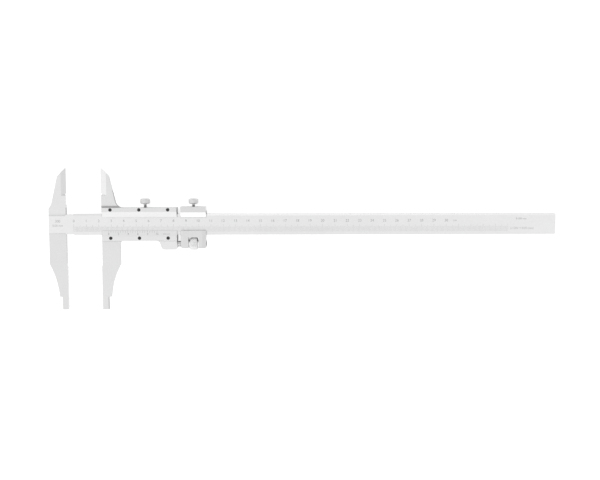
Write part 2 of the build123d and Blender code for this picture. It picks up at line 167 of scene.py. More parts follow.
def noise(tree, coords, scale, detail=3.0, stretch=(1, 1, 1)):
    """Fractal noise over object space, stretched along an axis for grain."""
    mapping = tree.nodes.new("ShaderNodeMapping")
    mapping.inputs["Scale"].default_value = stretch
    tree.links.new(coords, mapping.inputs["Vector"])
    made = add(tree, "ShaderNodeTexNoise", Scale=scale, Detail=detail, Roughness=NOISE_ROUGHNESS)
    tree.links.new(mapping.outputs["Vector"], made.inputs["Vector"])
    return made.outputs["Fac"]


def centred(tree, value, amount):
    """A 0 to 1 value turned into a swing of plus or minus half the amount."""
    return product(tree, math_node(tree, "SUBTRACT", value, 0.5), amount)


def edge_mask(tree, radius):
    """Near 1 on sharp outer and inner edges, with the rounded normal that goes with it."""
    bevel = tree.nodes.new("ShaderNodeBevel")
    bevel.samples = EDGE_SAMPLES
    bevel.inputs["Radius"].default_value = radius
    geometry = tree.nodes.new("ShaderNodeNewGeometry")
    dot = tree.nodes.new("ShaderNodeVectorMath")
    dot.operation = "DOT_PRODUCT"
    tree.links.new(bevel.outputs[0], dot.inputs[0])
    tree.links.new(geometry.outputs["Normal"], dot.inputs[1])
    away = math_node(tree, "SUBTRACT", 1.0, dot.outputs["Value"])
    clamp = tree.nodes.new("ShaderNodeClamp")
    tree.links.new(product(tree, away, EDGE_GAIN), clamp.inputs["Value"])
    return clamp.outputs[0], bevel.outputs[0]


def blend_to(tree, share, value):
    """1 where the share is 0, the value where it is 1."""
    return total(tree, 1.0, product(tree, share, value - 1))


def normal_part(tree, axis):
    """One component of the face's own normal, in object space."""
    geometry = tree.nodes.new("ShaderNodeNewGeometry")
    split = tree.nodes.new("ShaderNodeSeparateXYZ")
    tree.links.new(geometry.outputs["Normal"], split.inputs[0])
    return split.outputs[axis]


def place_part(tree, coords, axis):
    """One component of the object-space position."""
    split = tree.nodes.new("ShaderNodeSeparateXYZ")
    tree.links.new(coords, split.inputs[0])
    return split.outputs[axis]


# ---------------------------------------------------------------- masks: 1 on what they name, 0 elsewhere
PAST_ANY = 1.1  # more than any part of a unit normal
SIDE_LIMIT = 0.3
SQUARE_LIMIT = 0.9
FACE_REACH = 1.0 * MM
OPEN = (None, None, None)


def sides(tree, coords):
    """Faces square to the front."""
    return less(tree, size_of(tree, normal_part(tree, "Z")), SIDE_LIMIT)


def leaning(axis, least, most, facing=-PAST_ANY):
    """Faces that lean along an axis within two limits, and face the front by at least as much as given."""
    def mask(tree, coords):
        lean = normal_part(tree, axis)
        return product(tree, more(tree, lean, least), less(tree, lean, most),
                       more(tree, normal_part(tree, "Z"), facing))
    return mask


def within(low, high):
    """A box; a side of None is open."""
    def mask(tree, coords):
        made = 1.0
        for axis, least, most in zip("XYZ", low, high):
            place = place_part(tree, coords, axis)
            if least is not None:
                made = product(tree, more(tree, place, least), made)
            if most is not None:
                made = product(tree, less(tree, place, most), made)
        return made
    return mask


def ramp(start, end):
    """A share that rises from 0 to 1 between two distances along X from the fixed measuring face."""
    def mask(tree, coords):
        made = add(tree, "ShaderNodeMapRange", From_Min=FIXED_FACE_X + start, From_Max=FIXED_FACE_X + end)
        tree.links.new(place_part(tree, coords, "X"), made.inputs["Value"])
        return made.outputs["Result"]
    return mask


def both(first, second):
    """Where two masks are both 1."""
    return lambda tree, coords: product(tree, first(tree, coords), second(tree, coords))


def sides_within(low, high):
    """The sides inside a box; a side of None is open."""
    return both(sides, within(low, high))


def inner_faces(face_x):
    """The measuring faces and the reliefs beside them: faces square to X near one place along it."""
    def mask(tree, coords):
        away = math_node(tree, "SUBTRACT", place_part(tree, coords, "X"), face_x)
        near = less(tree, size_of(tree, away), FACE_REACH)
        return product(tree, near, more(tree, size_of(tree, normal_part(tree, "X")), SQUARE_LIMIT))
    return mask


def across(low, high):
    """A band between two distances along Y from the beam's centreline."""
    return within((None, CENTRE_Y + low, None), (None, CENTRE_Y + high, None))


# ---------------------------------------------------------------- metals and black finishes
GRAIN_SWING = 0.10
MOTTLE_SCALE, MOTTLE_DETAIL, MOTTLE_SWING = 900, 4, 0.10
BLOTCH_SCALE, BLOTCH_SWING = 45, 0.07
# Painted shade in corners: how far the occlusion reaches and how many samples it takes.
CORNER_SHADE_REACH = 1.2 * MM
CORNER_SHADE_SAMPLES = 6
METAL_EDGE, METAL_EDGE_WEAR, METAL_EDGE_POLISH = 0.18 * MM, 0.10, 0.12
ROUGH_BLOTCH_SWING, ROUGH_GRAIN_SWING = 0.10, 0.12
RELIEF_STRENGTH, RELIEF_DEPTH, RELIEF_MOTTLE = 0.25, 0.01 * MM, 0.5
RUB_SCALE, RUB_DETAIL, RUB_SWING, ROUGH_RUB_SWING = 1600, 4, 0.9, 0.2
BLACK_EDGE = 0.10 * MM


def new_material(name):
    """A node material with its tree, its shader and the object-space coordinates."""
    material = bpy.data.materials.new(name)
    material.use_nodes = True
    tree = material.node_tree
    coords = tree.nodes.new("ShaderNodeTexCoord").outputs["Object"]
    return material, tree, tree.nodes["Principled BSDF"], coords


def link_colour(tree, shader, parts):
    """Three outputs as the red, green and blue of the shader's base colour."""
    colour = tree.nodes.new("ShaderNodeCombineColor")
    for slot, part in enumerate(parts):
        tree.links.new(part, colour.inputs[slot])
    tree.links.new(colour.outputs[0], shader.inputs["Base Color"])


def metal(name, shade, roughness, grain=(1, 1, 1), grain_scale=4000, tint=(1, 1, 1), contrast=1.0,
          corner_shade=0.45, edge_on=1.0, masks=()):
    """Ground or satin-plated metal: fine grain, blotches, painted shade in corners and worn edges.

    Each of the masks comes with a factor for the shade and one for the roughness. A low edge_on
    darkens what is seen at a grazing angle.
    """
    material, tree, shader, coords = new_material(name)
    lines = noise(tree, coords, grain_scale, stretch=grain)
    mottle = noise(tree, coords, MOTTLE_SCALE, MOTTLE_DETAIL)
    blotch = noise(tree, coords, BLOTCH_SCALE)
    edge, rounded = edge_mask(tree, METAL_EDGE)

    swing = total(tree, centred(tree, lines, GRAIN_SWING * contrast),
                  centred(tree, mottle, MOTTLE_SWING * contrast),
                  centred(tree, blotch, BLOTCH_SWING * contrast))
    # Painted shade: ambient occlusion darkens corners, creases and gaps, more for a higher power.
    occlusion = add(tree, "ShaderNodeAmbientOcclusion", Distance=CORNER_SHADE_REACH)
    occlusion.samples = CORNER_SHADE_SAMPLES
    open_air = math_node(tree, "POWER", occlusion.outputs["AO"], corner_shade)
    level = product(tree, total(tree, 1.0, swing), open_air)
    level = product(tree, total(tree, level, product(tree, edge, METAL_EDGE_WEAR)), shade)
    rough = total(tree, roughness, centred(tree, blotch, ROUGH_BLOTCH_SWING),
                  centred(tree, lines, ROUGH_GRAIN_SWING), product(tree, edge, -METAL_EDGE_POLISH))
    for mask, factor, rough_factor in masks:
        share = mask(tree, coords)
        level = product(tree, level, blend_to(tree, share, factor))
        rough = product(tree, rough, blend_to(tree, share, rough_factor))

    link_colour(tree, shader, [product(tree, level, part) for part in tint])
    tree.links.new(rough, shader.inputs["Roughness"])
    shader.inputs["Metallic"].default_value = 1.0
    shader.inputs["Specular Tint"].default_value = (edge_on, edge_on, edge_on, 1)
    relief = add(tree, "ShaderNodeBump", Strength=RELIEF_STRENGTH, Distance=RELIEF_DEPTH)
    tree.links.new(total(tree, lines, product(tree, mottle, RELIEF_MOTTLE)), relief.inputs["Height"])
    tree.links.new(rounded, relief.inputs["Normal"])
    tree.links.new(relief.outputs["Normal"], shader.inputs["Normal"])
    return material


def dark_finish(name, shade, roughness, metallic, fade=None):
    """Black oxide or scale filler, rubbed a little lighter in places; fade is a mask and its factor."""
    material, tree, shader, coords = new_material(name)
    rub = noise(tree, coords, RUB_SCALE, RUB_DETAIL)
    edge, rounded = edge_mask(tree, BLACK_EDGE)
    level = product(tree, shade, total(tree, 1.0, centred(tree, rub, RUB_SWING)))
    level = total(tree, level, product(tree, edge, shade))
    if fade:
        mask, factor = fade
        level = product(tree, level, blend_to(tree, mask(tree, coords), factor))
    link_colour(tree, shader, (level, level, level))
    tree.links.new(total(tree, roughness, centred(tree, rub, ROUGH_RUB_SWING)), shader.inputs["Roughness"])
    tree.links.new(rounded, shader.inputs["Normal"])
    shader.inputs["Metallic"].default_value = metallic
    return material


# ---------------------------------------------------------------- places with painted light or shade, and a few finishes of their own
# Each is a mask, a factor for the shade and a factor for the roughness.
# The fixed jaws' fronts lie a little lower than the beam's face, just under the jaw level.
JAW_LEVEL = BEAM_HIGH.z - 0.29 * MM
END_DEPTH = 0.1 * MM
PLATE_END = KEEPER_HIGH.x - END_DEPTH
REST_TOP_Y = FEED.y + 2 * MM
SIDES = (sides, 0.8, 1.1)

# The beam's upper bevel, its far end, and the fixed jaws with their inner faces.
BEAM_BEVEL_WIDTH = 1.4 * MM
# Painted highlight: the beam's upper bevel strip is painted lighter, more so towards the right.
TOP_STRIP = (both(within((None, BEAM_TOP_Y - BEAM_BEVEL_WIDTH, JAW_LEVEL), OPEN),
                  ramp(20 * MM, 110 * MM)), 1.21, 0.8)
# Painted light: the beam is painted lighter towards its far end.
FAR_END = (ramp(200 * MM, 400 * MM), 1.08, 1.0)
# Painted light: the upper fixed jaw is painted lighter than the lower one.
UPPER_FIXED_JAW = (within((None, BEAM_TOP_Y + 0.2 * MM, None), (None, None, JAW_LEVEL)), 1.055, 1.0)
BELOW_BEAM_FACE = (within(OPEN, (None, None, JAW_LEVEL)), 0.91, 1.1)
FIXED_FACES = inner_faces(FIXED_FACE_X)
MEASURING_FACES = (FIXED_FACES, 1.2, 0.6)
# Painted shade on the fixed jaws' inner faces by the beam, and a darker painted shadow in the corner over
# the beam.
RELIEF_BY_BEAM = (both(FIXED_FACES, across(-32 * MM, 16 * MM)), 0.75, 1.0)
CORNER_OVER_BEAM = (both(FIXED_FACES, across(8 * MM, 13.5 * MM)), 0.5, 1.0)
BEAM_STEEL = metal(
    "beam_satin_steel", 0.82, 0.34, grain=(0.03, 1, 1), grain_scale=6000,
    masks=(SIDES, TOP_STRIP, FAR_END, UPPER_FIXED_JAW, BELOW_BEAM_FACE, MEASURING_FACES,
           RELIEF_BY_BEAM, CORNER_OVER_BEAM))

# The slider's right end: painted shade on the keeper plate's end and more on the vernier plate's, painted
# light on the finger rest's.
KEEPER_END = (sides_within((PLATE_END, CENTRE_Y, None), OPEN), 0.75, 1.2)
VERNIER_END = (sides_within((PLATE_END, REST_TOP_Y, None), (None, CENTRE_Y, None)), 0.3, 1.2)
REST_END = (sides_within((PLATE_END, None, None), (None, REST_TOP_Y, None)), 1.2, 1.0)
# Painted shadow on the step from the keeper plate to the upper jaw, and painted shade on the outer sides of
# the upper jaw and of the nib.
JAW_CORNER = (within((None, KEEPER_HIGH.y + 0.15 * MM, SLIDER_HIGH.z - 2.5 * MM),
                     (None, KEEPER_HIGH.y + 1.5 * MM, None)), 0.62, 1.0)
UPPER_JAW_SIDE = (sides_within((MOVING_FACE_X + 5 * MM, KEEPER_HIGH.y + 0.2 * MM, None),
                               (None, CENTRE_Y + 27 * MM, None)), 0.55, 1.2)
NIB_SIDE = (sides_within((MOVING_FACE_X + 4 * MM, None, None),
                         (MOVING_FACE_X + 6 * MM, CENTRE_Y - 59 * MM, None)), 0.5, 1.2)
# Bevels that lean towards the lower jaws' tips, and the knife facets that lean towards the fixed jaw.
LOWER_BEVELS = leaning("Y", -PAST_ANY, -0.45, facing=0.3)
KNIFE_FACETS = leaning("X", -PAST_ANY, -0.2, facing=0.5)
# Painted highlights on the slider's knife facets and lower bevels.
BODY_STEEL = metal(
    "slider_ground_steel", 0.76, 0.36, grain=(1, 0.05, 1), grain_scale=5000,
    masks=(SIDES, KEEPER_END, VERNIER_END, REST_END, JAW_CORNER, UPPER_JAW_SIDE, NIB_SIDE,
           (KNIFE_FACETS, 1.06, 0.8), (LOWER_BEVELS, 1.04, 1.0), (inner_faces(MOVING_FACE_X), 1.1, 0.6)))

# Painted light: the vernier plate's bevel is painted lighter than its flats.
VERNIER_BEVEL = leaning("Y", 0.2, PAST_ANY, facing=0.3)
VERNIER_CHROME = metal(
    "vernier_satin_chrome", 0.79, 0.38, grain=(0.1, 1, 1), grain_scale=6000, contrast=0.7,
    masks=(SIDES, (VERNIER_BEVEL, 1.09, 1.0)))

# The carriage's right end, its step, the bore that opens there, its floor and the walls round the nut.
BORE_REACH = Vector((0, 2.65, 2.65)) * MM
CLAMP_SIDES = (sides, 0.85, 1.1)
# Painted light on the carriage's right end, painted shade on its step.
CLAMP_END = (sides_within((CLAMP_RIGHT - END_DEPTH, None, None), OPEN), 1.3, 0.8)
CLAMP_END_STEP = (sides_within((CLAMP_RIGHT - END_DEPTH, CENTRE_Y, None),
                               (None, CENTRE_Y + 11 * MM, None)), 0.5, 1.0)
# Painted shade: the mouth of the bore at the right end is painted nearly black.
OPEN_BORE = (within((CLAMP_RIGHT - 3 * MM, *(FEED - BORE_REACH).yz),
                    (CLAMP_RIGHT - END_DEPTH / 2, *(FEED + BORE_REACH).yz)), 0.12, 1.0)
# Painted light on the carriage's floor and on the walls round the nut, where they lie in shade.
CLAMP_FLOOR = (sides_within((None, CENTRE_Y - 6 * MM, VERNIER_LOW.z),
                            (None, CENTRE_Y - 4 * MM, None)), 1.75, 1.0)
WINDOW_WALLS = (sides_within((NUT.x - 5 * MM, None, NUT.z),
                             (NUT.x + 5 * MM, FEED.y + 2.6 * MM, None)), 1.7, 1.0)
# Painted highlight on the carriage's lower bevels and painted shade on its knife facets.
CLAMP_STEEL = metal(
    "clamp_ground_steel", 0.73, 0.38, grain=(0.3, 1, 1), grain_scale=3500, contrast=1.4, corner_shade=0.3,
    masks=(CLAMP_SIDES, (LOWER_BEVELS, 1.2, 0.6), (KNIFE_FACETS, 0.94, 1.0), CLAMP_END, CLAMP_END_STEP,
           OPEN_BORE, CLAMP_FLOOR, WINDOW_WALLS))

# The nut's hubs stick out of its rim on both sides and are painted lighter against the shade round them.
HUB_START = 3.05 * MM
NUT_RIGHT_HUB = (within((NUT.x + HUB_START, None, None), OPEN), 1.15, 1.0)
NUT_LEFT_HUB = (within(OPEN, (NUT.x - HUB_START, None, None)), 1.15, 1.0)
# Painted shade: the nut's lower side is painted darker, its lowest faces most.
NUT_LOWER_SIDE = (leaning("Y", -PAST_ANY, -0.35), 0.85, 1.0)
NUT_LOWEST = (leaning("Y", -PAST_ANY, -0.75), 0.7, 1.0)
NUT_STEEL = metal(
    "nut_steel", 0.93, 0.33, grain_scale=3000, contrast=1.3, corner_shade=0.08, edge_on=0.4,
    masks=(NUT_RIGHT_HUB, NUT_LEFT_HUB, NUT_LOWER_SIDE, NUT_LOWEST))

# Painted reflection along the feed screw's crown and painted shade on its lower side, both darker.
THREAD_CROWN = (leaning("Y", -0.2, 0.15), 0.85, 1.0)
THREAD_LOWER_SIDE = (leaning("Y", -PAST_ANY, -0.45), 0.6, 1.0)
THREAD_STEEL = metal(
    "thread_steel", 0.98, 0.30, grain_scale=3000, corner_shade=0.15, edge_on=0.4,
    masks=(THREAD_CROWN, THREAD_LOWER_SIDE))

KNURL_STEEL = metal("knurled_steel", 0.72, 0.33, grain_scale=3000, contrast=1.3, corner_shade=0.15)
# Painted shade: the lock screws' stems are painted much darker than their heads.
STEM_STEEL = metal("stem_steel", 0.42, 0.4, grain_scale=3000, corner_shade=0.3)
SPRING_STEEL = metal("spring_strip", 0.62, 0.22, grain=(0.05, 1, 1), tint=(1.0, 0.99, 0.97))
BRASS = metal("turned_brass", 0.80, 0.30, tint=(1.0, 0.78, 0.42))
BLACK_OXIDE = dark_finish("black_oxide", 0.045, 0.38, 0.6)
SCALE_BLACK = dark_finish("scale_filler", 0.16, 0.6, 0.0)
# Painted light: the millimetre lines' filler is painted lighter towards the right, where glare washes them
# out.
GLARE_TO_THE_RIGHT = (ramp(20 * MM, 120 * MM), 3.6)
GLARED_SCALE_BLACK = dark_finish("glared_scale_filler", 0.08, 0.6, 0.0, GLARE_TO_THE_RIGHT)
NUMBER_BLACK = dark_finish("number_filler", 0.30, 0.6, 0.0)

NODE_MATERIALS = {
    "beam": BEAM_STEEL,
    "beam_stop_screw": BLACK_OXIDE,
    "slider_body": BODY_STEEL,
    "keeper_plate": BODY_STEEL,
    "vernier_plate": VERNIER_CHROME,
    "clamp_body": CLAMP_STEEL,
    "feed_screw_pin": THREAD_STEEL,
    "slider_gib_spring": SPRING_STEEL,
    "clamp_gib_spring": SPRING_STEEL,
    "slider_lock_pad": BRASS,
    "clamp_lock_pad": BRASS,
}


def dress_cad_nodes():
    """Every CAD node that stays in view gets its material."""
    for name, node in frame["nodes"].items():
        material = BLACK_OXIDE if "plate_screw" in name else NODE_MATERIALS.get(name)
        if material:
            node.data.materials.clear()
            node.data.materials.append(material)


# ---------------------------------------------------------------- mesh building
def place_piece(mesh, name, material, body):
    """A mesh made into a piece that rides on a body."""
    mesh.materials.append(material)
    piece = bpy.data.objects.new(name, mesh)
    bpy.context.scene.collection.objects.link(piece)
    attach(piece, body)
    return piece


def surface_frame(origin, right, up):
    """The matrix of a flat face: X to the right, Y up the face, Z out of it."""
    normal = right.cross(up).normalized()
    columns = Matrix((right.normalized(), up.normalized(), normal)).transposed().to_4x4()
    return Matrix.Translation(origin) @ columns


def add_line(bm, face, left, right, bottom, top):
    """One filled line as a thin closed block, sunk a little into its face."""
    corners = []
    for height in (-INLAY_SINK, INLAY_PROUD):
        for x, y in ((left, bottom), (right, bottom), (right, top), (left, top)):
            corners.append(bm.verts.new(face @ Vector((x, y, height))))
    for ring in ((3, 2, 1, 0), (4, 5, 6, 7), (0, 1, 5, 4), (1, 2, 6, 5), (2, 3, 7, 6), (3, 0, 4, 7)):
        bm.faces.new([corners[index] for index in ring])


def text_mesh(words):
    """The outline of some words as a mesh with thickness, at a text size of 1."""
    curve = bpy.data.curves.new("words", "FONT")
    curve.body = words
    curve.extrude = 0.5
    curve.offset = TEXT_THINNING
    holder = bpy.data.objects.new("words", curve)
    mesh = bpy.data.meshes.new_from_object(holder)
    bpy.data.objects.remove(holder)
    return mesh


def add_words(bm, face, words, height, x, y):
    """Words centred at a point of a face, their digits of the height given."""
    mesh = text_mesh(words)
    scale = height / DIGIT_HEIGHT
    across = [vertex.co.x for vertex in mesh.vertices]
    middle = (min(across) + max(across)) / 2
    thickness = INLAY_SINK + INLAY_PROUD
    lift = (INLAY_PROUD - INLAY_SINK) / 2
    size = Matrix.Diagonal((scale, scale, thickness, 1))
    shift = Matrix.Translation((x - middle * scale, y - height / 2, lift))
    mesh.transform(face @ shift @ size)
    bm.from_mesh(mesh)
    bpy.data.meshes.remove(mesh)


DIGIT_HEIGHT = max(vertex.co.y for vertex in text_mesh("1").vertices)


def finish_bmesh(bm, name):
    """A bmesh written out as a mesh with its faces turned outwards."""
    bmesh.ops.recalc_face_normals(bm, faces=bm.faces)
    mesh = bpy.data.meshes.new(name)
    bm.to_mesh(mesh)
    bm.free()
    return mesh


def place_inlay(bm, name, material, body):
    """Filled lines or words made into a piece that rides on a body."""
    place_piece(finish_bmesh(bm, name), name, material, body)


def beam_scale():
    """Millimetre lines and centimetre numbers on the beam."""
    origin = Vector((FIXED_FACE_X + ZERO_OFFSET, CENTRE_Y, BEAM_HIGH.z))
    face = surface_frame(origin, Vector((1, 0, 0)), Vector((0, 1, 0)))
    lines = bmesh.new()
    for millimetre in range(SCALE_LENGTH_MM + 1):
        step = 10 if millimetre % 10 == 0 else 5 if millimetre % 5 == 0 else 1
        x = millimetre * MM
        add_line(lines, face, x - LINE_WIDTH / 2, x + LINE_WIDTH / 2, LINE_FOOT_Y, LINE_TOPS[step])
    place_inlay(lines, "beam_lines", GLARED_SCALE_BLACK, "beam")
    numbers = bmesh.new()
    for centimetre in range(LABELLED_LENGTH_MM // 10 + 1):
        add_words(numbers, face, str(centimetre), NUMBER_HEIGHT, centimetre * 10 * MM, NUMBER_Y)
    for words, height, x, y in BEAM_NOTES:
        add_words(numbers, face, words, height, x - ZERO_OFFSET, y)
    place_inlay(numbers, "beam_numbers", NUMBER_BLACK, "beam")


def vernier_scale():
    """The vernier's lines, its numbers and its reading, on the bevel of the vernier plate."""
    lip_z = VERNIER_LOW.z + VERNIER_LIP
    drop = VERNIER_HIGH.z - lip_z
    origin = Vector((MOVING_FACE_X + ZERO_OFFSET, VERNIER_HIGH.y, lip_z))
    face = surface_frame(origin, Vector((1, 0, 0)), Vector((0, VERNIER_BEVEL_WIDTH, -drop)))
    lines = bmesh.new()
    for division in range(VERNIER_DIVISIONS + 1):
        x = division * VERNIER_STEP
        length = VERNIER_LONG_LINE if division % VERNIER_LONG_EVERY == 0 else VERNIER_LINE
        add_line(lines, face, x - LINE_WIDTH / 2, x + LINE_WIDTH / 2, -length, -VERNIER_LINE_GAP)
    place_inlay(lines, "vernier_lines", SCALE_BLACK, "slider")
    numbers = bmesh.new()
    for label in range(0, 11, 2):
        x = label * VERNIER_DIVISIONS / 10 * VERNIER_STEP + VERNIER_NUMBER_SHIFT
        add_words(numbers, face, str(label), VERNIER_NUMBER_HEIGHT, x, VERNIER_NUMBER_V)
    note_x = VERNIER_NOTE_STEPS * VERNIER_STEP
    add_words(numbers, face, "0.05 mm", VERNIER_NOTE_HEIGHT, note_x, VERNIER_NUMBER_V)
    place_inlay(numbers, "vernier_numbers", NUMBER_BLACK, "slider")


# ---------------------------------------------------------------- knurls and threads
CREST_WIDENING = 1.6
THREAD_COLUMNS = 32
THREAD_ROWS = 8
TOOTH_COLUMNS = 6
CHAMFER = 0.1 * MM
TINY = 1e-7


def wave(value):
    """A triangle wave from 0 to 1, one tooth for each whole number."""
    return 1 - abs(2 * (value % 1.0) - 1)


def thread_relief(pitch, depth):
    """How far a thread's flank lies below its crest."""
    return lambda along, turn: -depth * (1 - wave(along / pitch - turn))


def diamond_relief(teeth, slant, depth):
    """Crossed knurling: pyramids between two sets of slanting grooves."""
    def relief(along, turn):
        rising = wave(turn * teeth + along / slant)
        falling = wave(turn * teeth - along / slant)
        return -depth * (1 - min(rising, falling))
    return relief


def straight_relief(teeth, depth):
    """Straight knurling along the axis, with flat crests."""
    return lambda along, turn: -depth * (1 - min(1.0, CREST_WIDENING * wave(turn * teeth)))


def plain(along, turn):
    """A smooth turned surface."""
    return 0.0


def add_turned(bm, axis, profile, columns, closed=False):
    """A turned body round the Z of axis, from (along, radius, relief) rows; closed joins last to first."""
    rings = []
    for along, radius, relief in profile:
        if radius < TINY:
            rings.append([bm.verts.new(axis @ Vector((0, 0, along)))])
            continue
        ring = []
        for column in range(columns):
            turn = column / columns
            r = radius + relief(along, turn)
            angle = turn * math.tau
            ring.append(bm.verts.new(axis @ Vector((r * math.cos(angle), r * math.sin(angle), along))))
        rings.append(ring)
    pairs = list(zip(rings, rings[1:]))
    if closed:
        pairs.append((rings[-1], rings[0]))
    for near, far in pairs:
        for column in range(columns):
            after = (column + 1) % columns
            corners = [near[column % len(near)], near[after % len(near)],
                       far[after % len(far)], far[column % len(far)]]
            bm.faces.new(list(dict.fromkeys(corners)))


def spread(start, end, step):
    """Evenly spaced values from start to end, both included."""
    count = max(1, round((end - start) / step))
    return [start + (end - start) * index / count for index in range(count + 1)]


def shade_smooth(mesh, limit):
    """Smooth shading, with edges sharper than the limit in degrees kept crisp."""
    mesh.polygons.foreach_set("use_smooth", [True] * len(mesh.polygons))
    mesh.set_sharp_from_angle(angle=math.radians(limit))


LOCK_PITCH = 0.45 * MM
LOCK_THREAD_DEPTH = 0.24 * MM
LOCK_STEM_RADIUS = 1.25 * MM
LOCK_STEM_CHAMFER = 0.3 * MM
LOCK_NECK_RADIUS = 1.0 * MM
LOCK_NECK_LENGTH = 0.8 * MM
LOCK_STEM_OVERLAP = 0.5 * MM
LOCK_COLLAR_HEIGHT = 0.5 * MM
LOCK_COLLAR_RADIUS = 1.5 * MM
LOCK_HEAD_HEIGHT = 4.3 * MM
HEAD_LOW_EDGE = 0.7 * MM
HEAD_LIP_RISE = 0.12 * MM
HEAD_LIP_INSET = 0.2 * MM
HEAD_TOP_EDGE = 0.75 * MM
HEAD_TOP_INSET = 0.16 * MM
HEAD_TOP_ROWS = 4
DISH_RIM = 0.5 * MM
DISH_DEPTH = 0.15 * MM
DISH_SLOPE = 0.2 * MM
KNURL_TEETH = 34
KNURL_DEPTH = 0.2 * MM
KNURL_SLANT = 1.2 * MM
KNURL_ROW = 0.12 * MM
KNURL_RUN_OUT = 0.18 * MM
STEM_MARGIN = 0.05 * MM
COLLAR_MARGIN = 0.01 * MM


def lock_stem(head):
    """The profile of a lock screw's threaded stem, from its tip up into its head."""
    thread = thread_relief(LOCK_PITCH, LOCK_THREAD_DEPTH)
    neck = head - LOCK_NECK_LENGTH
    top = head + LOCK_STEM_OVERLAP
    profile = [(0, 0, plain), (0, LOCK_STEM_RADIUS - LOCK_STEM_CHAMFER, plain)]
    for along in spread(LOCK_STEM_CHAMFER, neck - CHAMFER, LOCK_PITCH / THREAD_ROWS):
        profile.append((along, LOCK_STEM_RADIUS, thread))
    return profile + [(neck, LOCK_NECK_RADIUS, plain), (top, LOCK_NECK_RADIUS, plain), (top, 0, plain)]


def lock_head(head, length, radius):
    """The profile of a lock screw's head: collar, knurled rim, rounded upper edge and shallow dish."""
    foot = head - LOCK_COLLAR_HEIGHT
    profile = [(foot, 0, plain), (foot, LOCK_COLLAR_RADIUS - CHAMFER, plain)]
    profile += [(foot + CHAMFER, LOCK_COLLAR_RADIUS, plain), (head, LOCK_COLLAR_RADIUS, plain)]
    under = radius - HEAD_LOW_EDGE
    profile += [(head, under - HEAD_LIP_INSET, plain), (head + HEAD_LIP_RISE, under, plain)]
    profile += [(head + HEAD_LOW_EDGE - KNURL_ROW, radius - KNURL_RUN_OUT, plain)]
    knurl = diamond_relief(KNURL_TEETH, KNURL_SLANT, KNURL_DEPTH)
    for along in spread(head + HEAD_LOW_EDGE, length - HEAD_TOP_EDGE, KNURL_ROW):
        profile.append((along, radius, knurl))
    for index in range(HEAD_TOP_ROWS + 1):
        angle = index / HEAD_TOP_ROWS * math.pi / 2
        along = length - HEAD_TOP_EDGE * (1 - math.sin(angle))
        inset = HEAD_TOP_INSET + HEAD_TOP_EDGE * (1 - math.cos(angle))
        profile.append((along, radius - inset, plain))
    dish = radius - HEAD_TOP_EDGE - DISH_RIM
    bottom = length - DISH_DEPTH
    return profile + [(length, dish, plain), (bottom, dish - DISH_SLOPE, plain), (bottom, 0, plain)]


def lock_screw(owner):
    """A thumbscrew with a diamond-knurled head and a threaded stem, turned about Y."""
    node = owner + "_lock_screw"
    low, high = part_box(node)
    middle = (low + high) / 2
    axis = Matrix.Translation((middle.x, low.y, middle.z)) @ Matrix.Rotation(-math.pi / 2, 4, "X")
    length = high.y - low.y
    head = length - LOCK_HEAD_HEIGHT
    bm = bmesh.new()
    add_turned(bm, axis, lock_stem(head), THREAD_COLUMNS)
    add_turned(bm, axis, lock_head(head, length, (high.x - low.x) / 2), KNURL_TEETH * TOOTH_COLUMNS)
    mesh = finish_bmesh(bm, node + "_turned")
    shade_smooth(mesh, limit=38)
    piece = place_piece(mesh, node + "_turned", KNURL_STEEL, owner + "_lock")
    mesh.materials.append(STEM_STEEL)
    collar_y = low.y + head - LOCK_COLLAR_HEIGHT
    for polygon in mesh.polygons:
        away = (polygon.center.xz - middle.xz).length
        if away < LOCK_STEM_RADIUS + STEM_MARGIN and polygon.center.y < collar_y - COLLAR_MARGIN:
            polygon.material_index = 1
    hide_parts(node)


FEED_PITCH = 0.8 * MM
FEED_THREAD_DEPTH = 0.42 * MM
FEED_THREAD_START = 11.0 * MM
FEED_RUN_OUT = 0.4 * MM
FEED_CHAMFER = 0.5 * MM


def feed_screw():
    """The feed screw with its thread cut along the whole length that shows."""
    low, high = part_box("feed_screw")
    axis = Matrix.Translation((low.x, FEED.y, FEED.z)) @ Matrix.Rotation(math.pi / 2, 4, "Y")
    length = high.x - low.x
    radius = (high.z - low.z) / 2
    thread = thread_relief(FEED_PITCH, FEED_THREAD_DEPTH)
    profile = [(0, 0, plain), (0, radius - FEED_CHAMFER, plain), (FEED_CHAMFER, radius, plain)]
    profile += [(FEED_THREAD_START - FEED_RUN_OUT, radius, plain)]
    for along in spread(FEED_THREAD_START, length - FEED_CHAMFER, FEED_PITCH / THREAD_ROWS):
        profile.append((along, radius, thread))
    profile += [(length, radius - FEED_CHAMFER, plain), (length, 0, plain)]
    bm = bmesh.new()
    add_turned(bm, axis, profile, THREAD_COLUMNS)
    mesh = finish_bmesh(bm, "feed_screw_threaded")
    shade_smooth(mesh, limit=50)
    piece = place_piece(mesh, "feed_screw_threaded", THREAD_STEEL, "slider")
    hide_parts("feed_screw")


NUT_TEETH = 40
NUT_KNURL_DEPTH = 0.28 * MM
NUT_HALF_RIM = 3.0 * MM
NUT_HUB_RADIUS = 3.1 * MM
NUT_BORE_RADIUS = 2.55 * MM
NUT_CORNER = 0.5 * MM
NUT_CORNER_DROP = NUT_CORNER / 2.6


